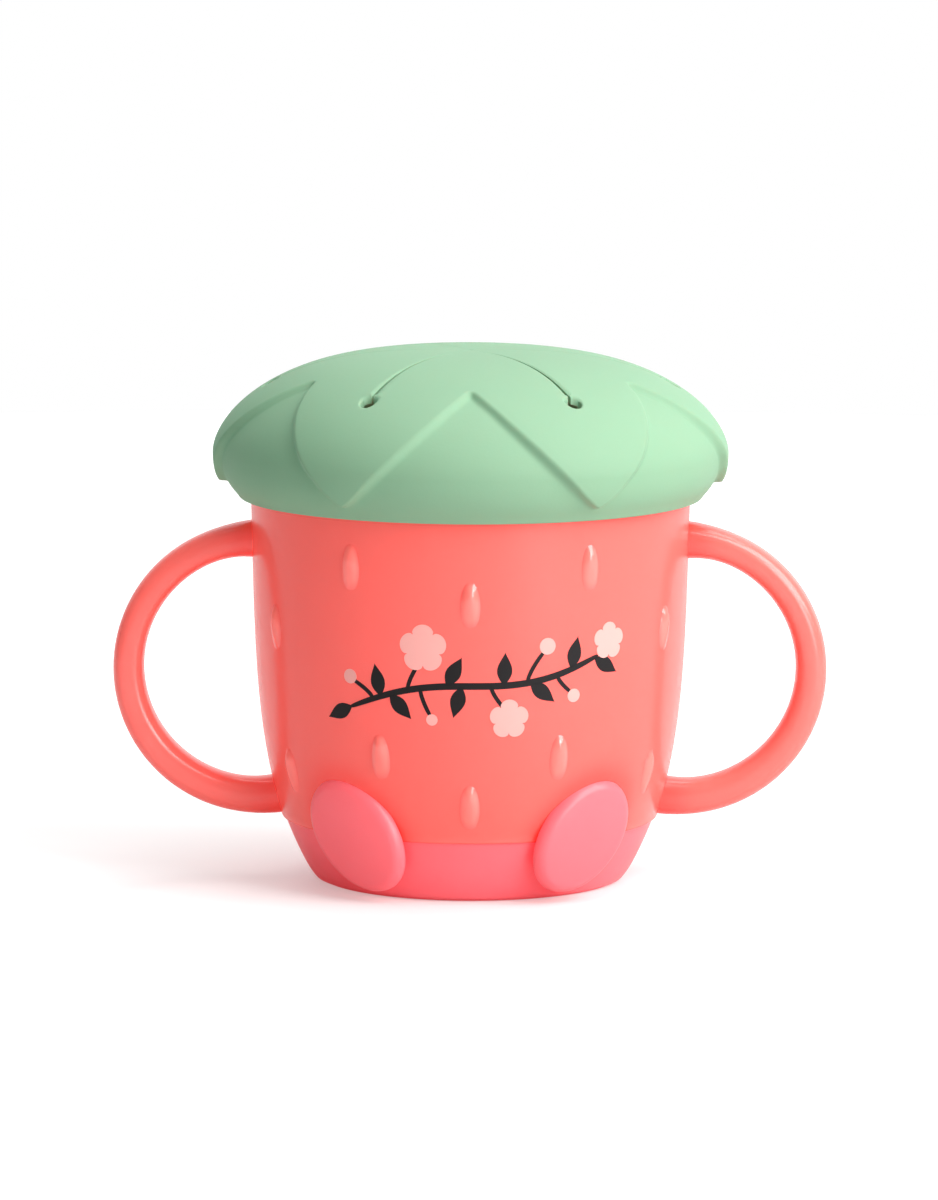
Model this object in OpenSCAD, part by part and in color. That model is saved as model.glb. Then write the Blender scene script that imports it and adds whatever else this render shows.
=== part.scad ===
// Toddler snack cup: a two-handled cup with a soft base boot and two foot pads, and a
// domed soft lid of six leaves whose six spring flaps let a small hand reach in.
// Millimetres, +Z up, origin at the centre of the underside, the foot pads towards -Y.

/* [Cup] */
// Outside diameter of the cup at its rim
cup_d = 85; // [84:0.5:86]
// Height of the cup's rim above the table
rim_z = 82; // [81:0.5:83]
// Thickness of the cup wall
wall_t = 2.0; // [1.6:0.1:2.4]
// Thickness of the cup floor
floor_t = 2.0; // [1.6:0.1:3]
// Drop from the rim to where the wall starts to curve in
shoulder_drop = 8; // [6:0.5:12]
// Draft angle of the wall, in degrees
draft_a = 1.3; // [1:0.1:1.6]
// How far the wall curves in at its foot, beyond the draft
wall_tuck = 4.8; // [4:0.1:5.6]

/* [Base boot] */
// Height of the boot's top edge
boot_h = 12.3; // [11:0.1:14]
// Thickness of the boot
boot_t = 1.6; // [1.2:0.1:2]
// How far the flat face that the cup stands on lies inside the boot's top edge
boot_taper = 6.6; // [5:0.2:8]
// Roundness of the boot's lower edge: a smaller number is rounder
boot_curve = 0.72; // [0.65:0.01:0.85]
// How far the boot's top edge lies inside the wall above it
boot_step_w = 0.4; // [0:0.05:0.5]

/* [Foot pads] */
// Azimuth of each pad from the front, in degrees
foot_az = 35.5; // [33:0.5:40]
// Height of a pad's centre
foot_z = 12.4; // [12.2:0.1:13]
// Long radius of a pad
foot_long = 12.1; // [11:0.1:12.3]
// Short radius of a pad
foot_short = 9.2; // [8:0.1:9.6]
// Lean of the long radius away from the centre line, in degrees
foot_lean = 40; // [30:1:50]
// Tilt of the pad's face, top outwards, in degrees
foot_tilt = 10; // [6:1:12]
// How far the middle of a pad's face stands out of the wall
foot_proud = 3.2; // [2.7:0.1:4.5]
// Thickness of a pad
foot_t = 3.6; // [3:0.1:4.5]
// Bevel round the edge of a pad's face
foot_bevel = 1.0; // [0.6:0.1:1.4]
// Distance that a pad's neck lies inside its rim
neck_inset = 2.4; // [1.5:0.1:4]
// Length of the neck behind a pad, before it is trimmed to the boot
neck_len = 8; // [7:0.5:12]

/* [Handles] */
// Radius of the loop's outer edge
loop_out_r = 28.4; // [27.6:0.1:28.6]
// Radius of the finger hole
loop_in_r = 21.9; // [21.4:0.1:22.4]
// How far the centre of the outer edge lies inside the wall
loop_out_tuck = 0.5; // [0:0.1:1]
// Height of the centre of the outer edge
loop_out_z = 40.8; // [40.6:0.1:41.4]
// How far the centre of the finger hole lies outside the centre of the outer edge
loop_in_out = 0.5; // [0:0.1:0.8]
// Height of the centre of the finger hole
loop_in_z = 41.2; // [40.8:0.1:41.6]
// Depth of a handle, front to back
loop_depth = 8.6; // [7.5:0.1:10]
// Bevel along the edges of a handle
loop_bevel = 1.2; // [0.8:0.1:1.6]

/* [Seeds] */
// Width of a seed
seed_w = 3.8; // [3:0.1:4.4]
// Height of a seed
seed_h = 8.4; // [7:0.1:9]
// Width of a seed's straight sides where they leave its round end
seed_side_w = 3.5; // [2.8:0.1:3.6]
// How far a seed stands out of the wall
seed_t = 0.7; // [0.4:0.1:1]
// Height of the seed between the foot pads
seed_foot_z = 19.6; // [18:0.1:22]
// Height of the seeds under the handles
seed_low_z = 23.6; // [22:0.1:25]
// Height of the lower row of seeds
seed_mid_z = 29; // [27:0.1:32]
// Height of the middle row of seeds at the back
seed_back_z = 44; // [40:0.5:46]
// Height of the seeds beside the handles
seed_side_z = 51.6; // [50:0.1:53]
// Height of the seed over the middle of each side
seed_high_z = 58.9; // [57:0.1:60]
// Height of the top row of seeds
seed_top_z = 65.3; // [64:0.1:67]

/* [Lid] */
// Thickness of the lid's side outside the carrier ring, between the leaves
lid_side_t = 3.7; // [3:0.1:4.5]
// Height of the lid's widest line above the cup's rim
girth_up = 1.4; // [1:0.1:2]
// Height of the dome above the widest line
dome_h = 20.1; // [19.8:0.1:21]
// Squareness of the dome's plan curve: a larger number has a flatter top
dome_flat = 2.7; // [2.5:0.1:2.8]
// Squareness of the dome's height curve: a larger number has a fuller shoulder
dome_full = 1.7; // [1.6:0.1:1.8]
// Drop from the cup's rim to the lid's lower lip
lip_drop = 7.4; // [7.2:0.1:8]
// How far the lip tucks in from the widest line
lip_tuck = 3.4; // [3:0.1:3.7]
// How late the side tucks in: a larger number keeps it upright for longer
lip_curve = 2.5; // [2:0.1:3]
// Thickness of the lid between the leaves, at the top
lid_top_t = 2.4; // [2:0.1:2.6]
// How far the hollow dome is wider than the carrier ring
hollow_step = 0.6; // [0.3:0.1:1]
// Clearance between the lid's lip and the cup wall
lip_gap = 0.6; // [0.4:0.1:1]

/* [Carrier ring] */
// Clearance between the ring and the cup's rim
ring_fit = 0.3; // [0.3:0.05:0.45]
// Thickness of the ring's two skirts
ring_wall = 1.8; // [1.5:0.1:1.8]
// Thickness of the ring's top flange
ring_flange = 1.7; // [1.5:0.1:1.9]
// Drop from the cup's rim to the lower edge of the ring's skirts
ring_drop = 6.4; // [5:0.1:6.8]

/* [Leaves] */
// How far the leaves stand out of the lid
leaf_t = 1.6; // [1.2:0.1:1.8]
// Drop from the widest line to a leaf's blunt tip
leaf_tip_drop = 6.2; // [5:0.1:6.4]
// Half width of a leaf's blunt tip
leaf_tip_w = 0.7; // [0.5:0.1:1.5]
// Distance between the flap opening and the head of a valley between two leaves
valley_rim = 1.0; // [0.8:0.1:2]
// Height above the leaves at which the two sides of a valley would meet
valley_blunt = 0.4; // [0.3:0.1:0.8]
// Half width of a valley where its sides turn
valley_turn_w = 10.3; // [9:0.1:12]
// Drop from a valley's head to where its sides turn
valley_turn_drop = 7.6; // [6:0.1:9]

/* [Flaps] */
// Distance from the axis to a flap's hinge line
hinge_r = 31.2; // [30.8:0.1:32]
// Drop from the dome to the hinge lines under it
hinge_drop = 1.6; // [1.5:0.1:1.8]
// Radius of the rounded root of a flap
knuckle_r = 2.0; // [1.95:0.05:2.1]
// Least gap between a flap's root and the lid
knuckle_gap = 0.35; // [0.3:0.05:0.45]
// Thickness of a flap
flap_t = 1.5; // [1.2:0.1:1.6]
// Width of the slits between the flaps
slit_w = 1.1; // [0.9:0.1:1.3]
// Diameter of the round hole at the outer end of each slit
slit_end_d = 3.2; // [3:0.1:3.6]
// Distance from the corners of the flap opening out to the middle of those holes
slit_end_out = 0.1; // [0.1:0.1:0.9]

/* [Hidden] */
$fn = 96;
leaves = 6;
sector = 360 / leaves;
// How far a cutting shape runs past the faces it cuts
past = 1;
// Azimuth and height of every seed, front half then back half
seed_places = [
    [32.5, seed_top_z], [-32.5, seed_top_z], [0, seed_high_z],
    [62.5, seed_side_z], [-62.5, seed_side_z], [25, seed_mid_z], [-25, seed_mid_z],
    [0, seed_foot_z], [60.5, seed_low_z], [-60.5, seed_low_z],
    [147.5, seed_top_z], [-147.5, seed_top_z], [180, seed_high_z],
    [117.5, seed_side_z], [-117.5, seed_side_z], [155, seed_back_z], [-155, seed_back_z],
    [180, seed_mid_z], [119.5, seed_low_z], [-119.5, seed_low_z],
    [150, seed_foot_z], [-150, seed_foot_z]
];
coral = [1, 0.47, 0.46];
pale_pink = [1, 0.62, 0.6];
boot_pink = [0.99, 0.49, 0.51];
mint = [0.72, 0.91, 0.76];
ring_mint = [0.66, 0.86, 0.7];
cup_r = cup_d / 2;
shoulder_z = rim_z - shoulder_drop;
floor_z = boot_t + floor_t;
boot_top_r = wall_r(boot_h) - boot_step_w;
stand_r = boot_top_r - boot_taper;
foot_reach = wall_r(foot_z) + foot_proud;
loop_out_x = wall_r(loop_out_z) - loop_out_tuck;
loop_in_x = loop_out_x + loop_in_out;
flange_z = rim_z + ring_fit;
ring_top = flange_z + ring_flange;
ring_z = rim_z - ring_drop;
ring_out_r = cup_r + ring_fit + ring_wall;
girth_z = rim_z + girth_up;
lip_z = rim_z - lip_drop;
base_r = ring_out_r + lid_side_t;
base_h = dome_h - leaf_t;
lid_r = base_r + leaf_t;
opening_r = hinge_r + knuckle_r + knuckle_gap;
slit_end_r = opening_r / cos(sector / 2) + slit_end_out;
hinge_z = dome_z(hinge_r) - hinge_drop;
leaf_tip_z = girth_z - leaf_tip_drop;
valley_head_r = opening_r + valley_rim;
valley_head_z = dome_z(valley_head_r);
valley_turn_z = valley_head_z - valley_turn_drop;
valley_foot_w = side_r(leaf_tip_z, lid_r) * sin(sector / 2) - leaf_tip_w;

// Outside radius of the cup wall at height z: a draft, and a fourth-power curve below
// the shoulder.
function wall_r(z) =
    let (drop = max(0, shoulder_z - z))
    cup_r - drop * tan(draft_a) - wall_tuck * pow(drop / (shoulder_z - boot_h), 4);

// Outside radius of the boot at height z: a power curve that starts flat at the table.
function boot_r(z) = stand_r + (boot_top_r - stand_r) * pow(z / boot_h, boot_curve);

// Height of the leaves' dome at distance r from the axis.
function dome_z(r) = girth_z + dome_h * pow(1 - pow(r / lid_r, dome_flat), 1 / dome_full);

// Radius of the lid's side below its widest line, for a widest radius r0.
function side_r(z, r0) = r0 - lip_tuck * pow((girth_z - z) / (girth_z - lip_z), lip_curve);

// Points [radius, height] of the dome of radius r0 and height h0, from girth to apex.
function dome_curve(r0, h0, steps = 12) = [
    for (i = [0 : steps])
        let (a = 90 * i / steps)
        [i == steps ? 0 : r0 * pow(cos(a), 2 / dome_flat),
         girth_z + h0 * pow(sin(a), 2 / dome_full)]
];

// Points of the lid's side from height z0 up to just under the girth.
function side_curve(z0, r0, steps = 5) = [
    for (i = [0 : steps - 1])
        let (z = z0 + (girth_z - z0) * i / steps)
        [side_r(z, r0), z]
];

// Points of the cup wall, moved in by t, from height z0 to z1.
function wall_curve(z0, z1, t, steps = 9) = [
    for (i = [0 : steps])
        let (z = z0 + (z1 - z0) * i / steps)
        [wall_r(z) - t, z]
];

// Points of the boot, moved in by t, from height z0 to z1.
function boot_curve_points(z0, z1, t, steps = 6) = [
    for (i = [0 : steps])
        let (z = z0 + (z1 - z0) * i / steps)
        [boot_r(z) - t, z]
];

// Turns children, whose outward direction is +X, to azimuth az from the front.
module at_azimuth(az) {
    rotate([0, 0, az - 90]) children();
}

// A disc standing in the XZ plane, centred on y = 0: a positive bevel trims its two
// edges, and a negative one flares them.
module disc(r, depth, bevel) {
    flat = depth - 2 * abs(bevel);
    rotate([90, 0, 0]) union() {
        cylinder(r = r, h = flat, center = true);
        translate([0, 0, flat / 2]) cylinder(r1 = r, r2 = r - bevel, h = abs(bevel));
        translate([0, 0, -flat / 2 - abs(bevel)]) cylinder(r1 = r - bevel, r2 = r, h = abs(bevel));
    }
}

// The solid space inside the cup's and the boot's outer faces, grown by t.
module cup_space(t = 0) {
    rotate_extrude()
        polygon(concat(
            [[0, -past]],
            [[stand_r + t, -past]],
            boot_curve_points(0, boot_h, -t),
            wall_curve(boot_h, rim_z, -t),
            [[0, rim_z]]
        ));
}

// The cup: wall and floor, rebated below boot_h for the boot.
module cup_shell() {
    rebate = boot_curve_points(boot_t, boot_h, boot_t);
    inner = boot_curve_points(boot_h - past, floor_z, boot_t + wall_t);
    color(coral)
        rotate_extrude()
            polygon(concat(
                [[0, boot_t]],
                rebate,
                wall_curve(boot_h, rim_z, 0),
                wall_curve(rim_z, boot_h + wall_t, wall_t),
                inner,
                [[0, floor_z]]
            ));
}

// A loop handle at +X, trimmed to the cup wall. The finger hole sits a little further out
// and higher than the outer edge, so the loop is thickest at its foot.
module handle() {
    difference() {
        translate([loop_out_x, 0, loop_out_z]) disc(loop_out_r, loop_depth, loop_bevel);
        translate([loop_in_x, 0, loop_in_z])
            disc(loop_in_r, loop_depth + 2 * past, -loop_bevel - past);
        cup_space();
    }
}

module right_handle() {
    color(coral) handle();
}

module left_handle() {
    color(coral) mirror([1, 0, 0]) handle();
}

// A seed's outline, pointing up: a round lower end, and two straight sides to the tip
// that leave the round end just inside its full width.
module seed_outline() {
    union() {
        circle(d = seed_w);
        polygon([[0, seed_h - seed_w / 2], [-seed_side_w / 2, 0], [seed_side_w / 2, 0]]);
    }
}

// The raised seeds, trimmed between the wall and the wall grown by seed_t.
module seed_dots() {
    color(pale_pink) difference() {
        intersection() {
            cup_space(seed_t);
            union() {
                for (place = seed_places)
                    at_azimuth(place[0])
                        translate([cup_r / 2, 0, place[1] - seed_h / 2 + seed_w / 2])
                            rotate([90, 0, 90]) linear_extrude(cup_r) seed_outline();
            }
        }
        cup_space();
    }
}

// The soft boot moulded round the cup's foot and floor.
module base_boot() {
    outside = boot_curve_points(0, boot_h, 0);
    inside = boot_curve_points(boot_h, boot_t, boot_t);
    color(boot_pink)
        rotate_extrude() polygon(concat([[0, 0]], outside, inside, [[0, boot_t]]));
}

// An ellipse with half axes a along X and b along Y.
module oval(a, b) {
    steps = 48;
    polygon([for (i = [0 : steps - 1]) [a * cos(360 * i / steps), b * sin(360 * i / steps)]]);
}

// A foot pad at azimuth az with its long radius leaning by lean: a bevelled oval plate
// and a narrower neck that runs in to the boot.
module foot(az, lean) {
    difference() {
        at_azimuth(az)
            translate([foot_reach, 0, foot_z])
                rotate([90, 0, 90])
                    rotate([foot_tilt, 0, 0])
                        rotate([0, 0, 90 - lean])
                            union() {
                                translate([0, 0, -foot_t])
                                    linear_extrude(foot_t - foot_bevel)
                                        oval(foot_long, foot_short);
                                translate([0, 0, -foot_bevel])
                                    linear_extrude(foot_bevel)
                                        oval(foot_long - foot_bevel, foot_short - foot_bevel);
                                translate([0, 0, -foot_t - neck_len])
                                    linear_extrude(neck_len)
                                        oval(foot_long - neck_inset, foot_short - neck_inset);
                            }
        cup_space();
    }
}

module right_foot() {
    color(boot_pink) foot(foot_az, foot_lean);
}

module left_foot() {
    color(boot_pink) foot(-foot_az, -foot_lean);
}

// Everything under a lid face of widest radius r0 and dome height h0, down to height z0.
module lid_space(r0, h0, z0) {
    rotate_extrude()
        polygon(concat([[0, z0]], side_curve(z0, r0), dome_curve(r0, h0)));
}

// The outline of the valley between two leaves, in the plane that faces it: an inverted
// V whose sides turn once on the way down to the leaf tips, and its run-out below them.
module valley_outline() {
    run_w = valley_foot_w - valley_turn_w;
    run_z = valley_turn_z - leaf_tip_z;
    low_w = valley_foot_w + past * run_w / run_z;
    polygon([
        [0, valley_head_z + valley_blunt], [valley_turn_w, valley_turn_z], [low_w, leaf_tip_z - past],
        [-low_w, leaf_tip_z - past], [-valley_turn_w, valley_turn_z]
    ]);
}

// The six leaves as one raised skin, parted by the six valleys.
module leaf_skin() {
    difference() {
        lid_space(lid_r, dome_h, leaf_tip_z);
        for (i = [0 : leaves - 1])
            at_azimuth(sector * i)
                translate([valley_head_r, 0, 0])
                    rotate([90, 0, 90]) linear_extrude(lid_r) valley_outline();
    }
}

// Round holes at the outer ends of the slits.
module slit_ends() {
    for (i = [0 : leaves - 1])
        at_azimuth(sector * (i + 0.5))
            translate([slit_end_r, 0, girth_z])
                cylinder(d = slit_end_d, h = dome_h + past);
}

// The opening that the flaps fill: a hexagon just outside their roots, and the slit ends.
module flap_opening() {
    union() {
        translate([0, 0, girth_z])
            rotate([0, 0, sector / 2 - 90])
                cylinder(r = opening_r / cos(sector / 2), h = dome_h + past, $fn = leaves);
        slit_ends();
    }
}

// The soft lid: a dome with a lip that wraps the carrier ring, and the raised leaves.
module lid_cap() {
    color(mint) difference() {
        union() {
            lid_space(base_r, base_h, lip_z);
            leaf_skin();
        }
        // Hollow dome
        translate([0, 0, -past])
            rotate_extrude()
                polygon(concat(
                    [[0, ring_top]],
                    [for (p = dome_curve(ring_out_r + hollow_step, base_h - lid_top_t))
                        [p[0], max(p[1], ring_top) + past]]
                ));
        // Seat of the carrier ring and the way down to the lip
        translate([0, 0, ring_z]) cylinder(r = ring_out_r, h = ring_top - ring_z);
        translate([0, 0, lip_z - past]) cylinder(r = cup_r + lip_gap, h = ring_top - lip_z);
        flap_opening();
    }
}

// The stiff ring inside the lid, a channel that sits over the cup's rim.
module lid_ring() {
    in_r = cup_r - wall_t - ring_fit;
    color(ring_mint)
        rotate_extrude()
            polygon([
                [in_r - ring_wall, ring_z], [in_r, ring_z], [in_r, flange_z],
                [cup_r + ring_fit, flange_z], [cup_r + ring_fit, ring_z],
                [ring_out_r, ring_z], [ring_out_r, ring_top], [in_r - ring_wall, ring_top]
            ]);
}

// One spring flap: a sixth of the dome's skin between two slits, with a rounded root.
module flap(az) {
    slit_tip = slit_w / 2 / sin(sector / 2);
    side = lid_r;
    intersection() {
        difference() {
            lid_space(lid_r, dome_h, girth_z - past);
            lid_space(lid_r - flap_t, dome_h - flap_t, girth_z - 2 * past);
            slit_ends();
        }
        at_azimuth(az)
            linear_extrude(girth_z + dome_h + past)
                polygon([
                    [slit_tip, 0],
                    [side, (side - slit_tip) * tan(sector / 2)],
                    [side, -(side - slit_tip) * tan(sector / 2)]
                ]);
        union() {
            at_azimuth(az)
                translate([0, -lid_r, girth_z]) cube([hinge_r, 2 * lid_r, dome_h + past]);
            at_azimuth(az)
                translate([hinge_r, 0, hinge_z])
                    rotate([90, 0, 0]) cylinder(r = knuckle_r, h = lid_r, center = true);
        }
    }
}

module flap_1() { color(mint) flap(0); }
module flap_2() { color(mint) flap(sector); }
module flap_3() { color(mint) flap(2 * sector); }
module flap_4() { color(mint) flap(3 * sector); }
module flap_5() { color(mint) flap(4 * sector); }
module flap_6() { color(mint) flap(5 * sector); }

cup_shell();
left_handle();
right_handle();
seed_dots();
base_boot();
left_foot();
right_foot();
lid_cap();
lid_ring();
flap_1();
flap_2();
flap_3();
flap_4();
flap_5();
flap_6();
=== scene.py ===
import math

import bmesh
import bpy
import numpy as np
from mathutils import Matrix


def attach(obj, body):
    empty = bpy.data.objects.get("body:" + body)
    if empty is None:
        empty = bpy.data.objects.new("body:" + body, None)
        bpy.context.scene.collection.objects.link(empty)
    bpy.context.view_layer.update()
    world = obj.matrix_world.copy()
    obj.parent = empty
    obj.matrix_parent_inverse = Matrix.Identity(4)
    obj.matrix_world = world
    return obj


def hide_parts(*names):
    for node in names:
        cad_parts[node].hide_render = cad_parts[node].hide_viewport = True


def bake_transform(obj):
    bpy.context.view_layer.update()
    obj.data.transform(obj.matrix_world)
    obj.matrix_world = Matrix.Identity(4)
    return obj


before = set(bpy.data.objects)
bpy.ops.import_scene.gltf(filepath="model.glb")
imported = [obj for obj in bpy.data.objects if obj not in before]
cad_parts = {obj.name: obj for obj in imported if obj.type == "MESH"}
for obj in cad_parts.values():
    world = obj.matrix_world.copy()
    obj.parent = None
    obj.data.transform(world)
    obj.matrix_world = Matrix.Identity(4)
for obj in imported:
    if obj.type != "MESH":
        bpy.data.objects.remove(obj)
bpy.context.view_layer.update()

# The pieces' sizes are in millimetres, and those of the table, light and camera in metres.
MM = 0.001

# The table, the light and the camera. The snack cup stands on a white studio table, painted
# a little brighter by a glow that only the camera sees, under one large soft lamp on the
# right, one overhead and a small one low in front, with white walls all round that fill the
# shadows.
TABLE_WHITE, TABLE_ROUGH, TABLE_SIDES = (0.66, 0.66, 0.66, 1), 0.6, 96
TABLE_R, TABLE_Z = 0.8, -0.00004
# The table's painted glow, which only the camera sees, grows with the distance from its
# middle, so that the table is painted darker round the cup: a painted shade.
GLOW_FROM, GLOW_TO, GLOW_NEAR, GLOW_FAR = 0.1, 0.5, 0.34, 0.5
# Each wall: how far a direction points towards it, from -1 to 1, where it starts and ends to
# brighten, and its strength before and after that.
BACK_WALL, RIGHT_WALL = (0.2, 0.8, 0.5, 1.0), (-0.9, 0.6, 0.46, 1.15)
LAMP_AIM = (0, 0, 0.05)
LENS, SENSOR = 235.56, 36
CAMERA_AT, CAMERA_TURN = (0, -1.509, 0.263), (82.12, -0.20, 0.0363)


def ramp(tree, source, start, end, low, high, smooth=False):
    """The output of a node that goes from low to high as its source goes from start to end."""
    made = tree.nodes.new("ShaderNodeMapRange")
    if smooth:
        made.interpolation_type = "SMOOTHSTEP"
    ends = (("From Min", start), ("From Max", end), ("To Min", low), ("To Max", high))
    for socket, value in ends:
        made.inputs[socket].default_value = value
    tree.links.new(source, made.inputs["Value"])
    return made.outputs["Result"]


def combined(tree, operation, first, second):
    """The output of a node that does one operation on two sources."""
    made = tree.nodes.new("ShaderNodeMath")
    made.operation = operation
    tree.links.new(first, made.inputs[0])
    tree.links.new(second, made.inputs[1])
    return made.outputs["Value"]


def seen_by_camera(tree):
    """The output that is one for what the camera sees itself, and zero for all other light."""
    return tree.nodes.new("ShaderNodeLightPath").outputs["Is Camera Ray"]


rim_turn = np.linspace(0, 2 * np.pi, TABLE_SIDES, endpoint=False)
rim = np.stack((TABLE_R * np.cos(rim_turn), TABLE_R * np.sin(rim_turn),
                np.full(TABLE_SIDES, TABLE_Z)), -1)
table_mesh = bpy.data.meshes.new("table")
table_mesh.from_pydata(rim.tolist(), [], [tuple(range(TABLE_SIDES))])
table = bpy.data.objects.new("table", table_mesh)
bpy.context.scene.collection.objects.link(table)
table_paint = bpy.data.materials.new("table_white")
table_paint.use_nodes = True
paint = table_paint.node_tree
table_look = paint.nodes["Principled BSDF"].inputs
table_look["Base Color"].default_value = TABLE_WHITE
table_look["Roughness"].default_value = TABLE_ROUGH
table_look["Emission Color"].default_value = (1, 1, 1, 1)
spot, from_middle = paint.nodes.new("ShaderNodeTexCoord"), paint.nodes.new("ShaderNodeVectorMath")
from_middle.operation = "LENGTH"
paint.links.new(spot.outputs["Object"], from_middle.inputs[0])
glow = ramp(paint, from_middle.outputs["Value"], GLOW_FROM, GLOW_TO, GLOW_NEAR, GLOW_FAR)
paint.links.new(combined(paint, "MULTIPLY", glow, seen_by_camera(paint)),
                table_look["Emission Strength"])
table_mesh.materials.append(table_paint)

room = bpy.data.worlds.new("white_room")
room.use_nodes = True
air = room.node_tree
sky = air.nodes["Background"]
sky.inputs["Color"].default_value = (1, 1, 1, 1)
way_out, parts = air.nodes.new("ShaderNodeTexCoord"), air.nodes.new("ShaderNodeSeparateXYZ")
air.links.new(way_out.outputs["Generated"], parts.inputs["Vector"])
back = ramp(air, parts.outputs["Y"], *BACK_WALL, smooth=True)
right = ramp(air, parts.outputs["X"], *RIGHT_WALL, smooth=True)
bright = combined(air, "MAXIMUM", combined(air, "MULTIPLY", back, right), seen_by_camera(air))
air.links.new(bright, sky.inputs["Strength"])
bpy.context.scene.world = room
bpy.context.scene.view_settings.view_transform = "Standard"


def soft_lamp(name, place, size, power):
    """A square area lamp of side size at place, turned to face the cup."""
    lamp = bpy.data.lights.new(name, "AREA")
    lamp.shape = "SQUARE"
    lamp.size = size
    lamp.energy = power
    stand = bpy.data.objects.new(name, lamp)
    look = np.array(LAMP_AIM, float) - np.array(place, float)
    turn = math.atan2(look[1], look[0]) - math.pi / 2
    stand.rotation_euler = (math.acos(-look[2] / np.linalg.norm(look)), 0, turn)
    stand.location = place
    bpy.context.scene.collection.objects.link(stand)


soft_lamp("right_lamp", (0.96, -0.60, 0.86), size=1.1, power=22)
soft_lamp("top_lamp", (0.2, 0.2, 1.5), size=1.2, power=13)
soft_lamp("low_lamp", (0.62, -0.85, 0.24), size=0.45, power=3)

lens = bpy.data.cameras.new("view")
lens.lens = LENS
lens.sensor_fit = "VERTICAL"
lens.sensor_height = SENSOR
lens.clip_start = 0.1
camera = bpy.data.objects.new("view", lens)
camera.rotation_euler = tuple(math.radians(t) for t in CAMERA_TURN)
camera.location = CAMERA_AT
bpy.context.scene.collection.objects.link(camera)
bpy.context.scene.camera = camera

# The cup. One thin tapered wall of see-through-edged coral polypropylene, injection
# moulded, straight at the top and curving in to the foot, where the boot is moulded on.
CUP_R, RIM_Z, WALL_T, RIM_OUT, RIM_IN = 42.5, 82.0, 2.0, 0.9, 0.7
SHOULDER_Z, FOOT_Z, DRAFT, TUCK = 74.0, 12.3, math.tan(math.radians(1.3)), 4.8
FOOT_UP, FOOT_ROUND, FOOT_IN = 0.9, 0.6, 0.3
FLOOR_Z, FLOOR_R, FLOOR_CURVE_Z, FLOOR_CURVE = 3.6, 27.5, 8.6, 5.0
BOOT_T, BOOT_R, STAND_R, BOOT_CURVE = 1.6, 35.9, 29.3, 0.72
CUP_CORAL, CUP_PAINTED_DEEP = (0.95, 0.138, 0.117, 1), (0.93, 0.06, 0.05, 1)
# The plastic's painted glow: red light that it gives off itself, in place of the light that
# passes through it.
CUP_GLOW, CUP_GLOW_POWER = (1.0, 0.07, 0.05, 1), 0.2
# The wall is painted a deeper coral round the ovals of the foot pads, a painted shade where
# they meet it, and at the handles' roots, a painted deepening for the light that passes
# through the thicker plastic there.
# ROOT_FADE is the square of a length, and the pads' lean is in degrees.
TOP_ROOT_Z, LOW_ROOT_Z, ROOT_HALF_Z, ROOT_HALF_Y = 66.0, 16.0, 2.0, 2.5
ROOT_PAINTED_DEEP, ROOT_FADE = 0.8, 14
PAD_LONG, PAD_SHORT, PAD_AZ, PAD_Z, PAD_LEAN = 12.1, 9.2, 35.5, 12.4, 40.0
PAD_MEAN_R, PAD_WALL_R, PAD_PAINTED_SHADE, PAD_FADE = 10.5, 40.0, 0.85, 3.4


def wall_r(z):
    """Radius of the wall at height z: the rim radius less the draft times the drop below
    the shoulder, less the tuck times the fourth power of that drop's share."""
    drop = np.maximum(0, SHOULDER_Z - z)
    return CUP_R - drop * DRAFT - TUCK * (drop / (SHOULDER_Z - FOOT_Z)) ** 4


def boot_r(z):
    """Radius of the boot at height z: from the standing radius to the top radius, by the
    height's share to a power below one, so that it flares fast at first."""
    share = np.clip(z / FOOT_Z, 0, 1)
    return STAND_R + (BOOT_R - STAND_R) * share ** BOOT_CURVE


def piece(name, points, loop_rows=False, painted_tone=None):
    """One mesh of one or more grids of points in millimetres, indexed [.., row, column]:
    four-sided faces between neighbours, each row joined into a ring, the last row joined to
    the first where rows loop, and points in one place merged. Edges turned by 50 degrees or
    more are sharp. The last argument, if given, is a value for each point, kept on the mesh
    for its material: how far its colour turns to a painted light or shade."""
    rows, cols = points.shape[-3:-1]
    index = np.arange(rows * cols).reshape(rows, cols)
    if loop_rows:
        index = np.vstack((index, index[:1]))
    index = np.hstack((index, index[:, :1]))
    cells = np.stack((index[:-1, :-1], index[:-1, 1:], index[1:, 1:], index[1:, :-1]), -1)
    copies = points.reshape(-1, rows * cols, 3).shape[0]
    faces = cells.reshape(-1, 4)[None] + (np.arange(copies) * rows * cols)[:, None, None]
    mesh = bpy.data.meshes.new(name)
    mesh.from_pydata((points.reshape(-1, 3) * MM).tolist(), [], faces.reshape(-1, 4).tolist())
    if painted_tone is not None:
        mesh.attributes.new("painted_tone", "FLOAT", "POINT").data.foreach_set("value", painted_tone.ravel())
    shell = bmesh.new()
    shell.from_mesh(mesh)
    bmesh.ops.remove_doubles(shell, verts=shell.verts, dist=2e-7)
    bmesh.ops.recalc_face_normals(shell, faces=shell.faces)
    shell.to_mesh(mesh)
    shell.free()
    mesh.shade_smooth()
    mesh.set_sharp_from_angle(angle=math.radians(50))
    made = bpy.data.objects.new(name, mesh)
    bpy.context.scene.collection.objects.link(made)
    return made


def turned(profile, columns):
    """A profile of (radius, height) points turned about the upright axis."""
    angle = np.linspace(0, 2 * np.pi, columns, endpoint=False)
    r, z = profile[:, :1], profile[:, 1:]
    return np.stack((r * np.sin(angle), -r * np.cos(angle), z + 0 * angle), -1)


def arc(centre_r, centre_z, radius, start, end, steps=8):
    """Points of an arc in (radius, height), from one angle to another in degrees."""
    a = np.radians(np.linspace(start, end, steps))
    return np.stack((centre_r + radius * np.cos(a), centre_z + radius * np.sin(a)), -1)


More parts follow.
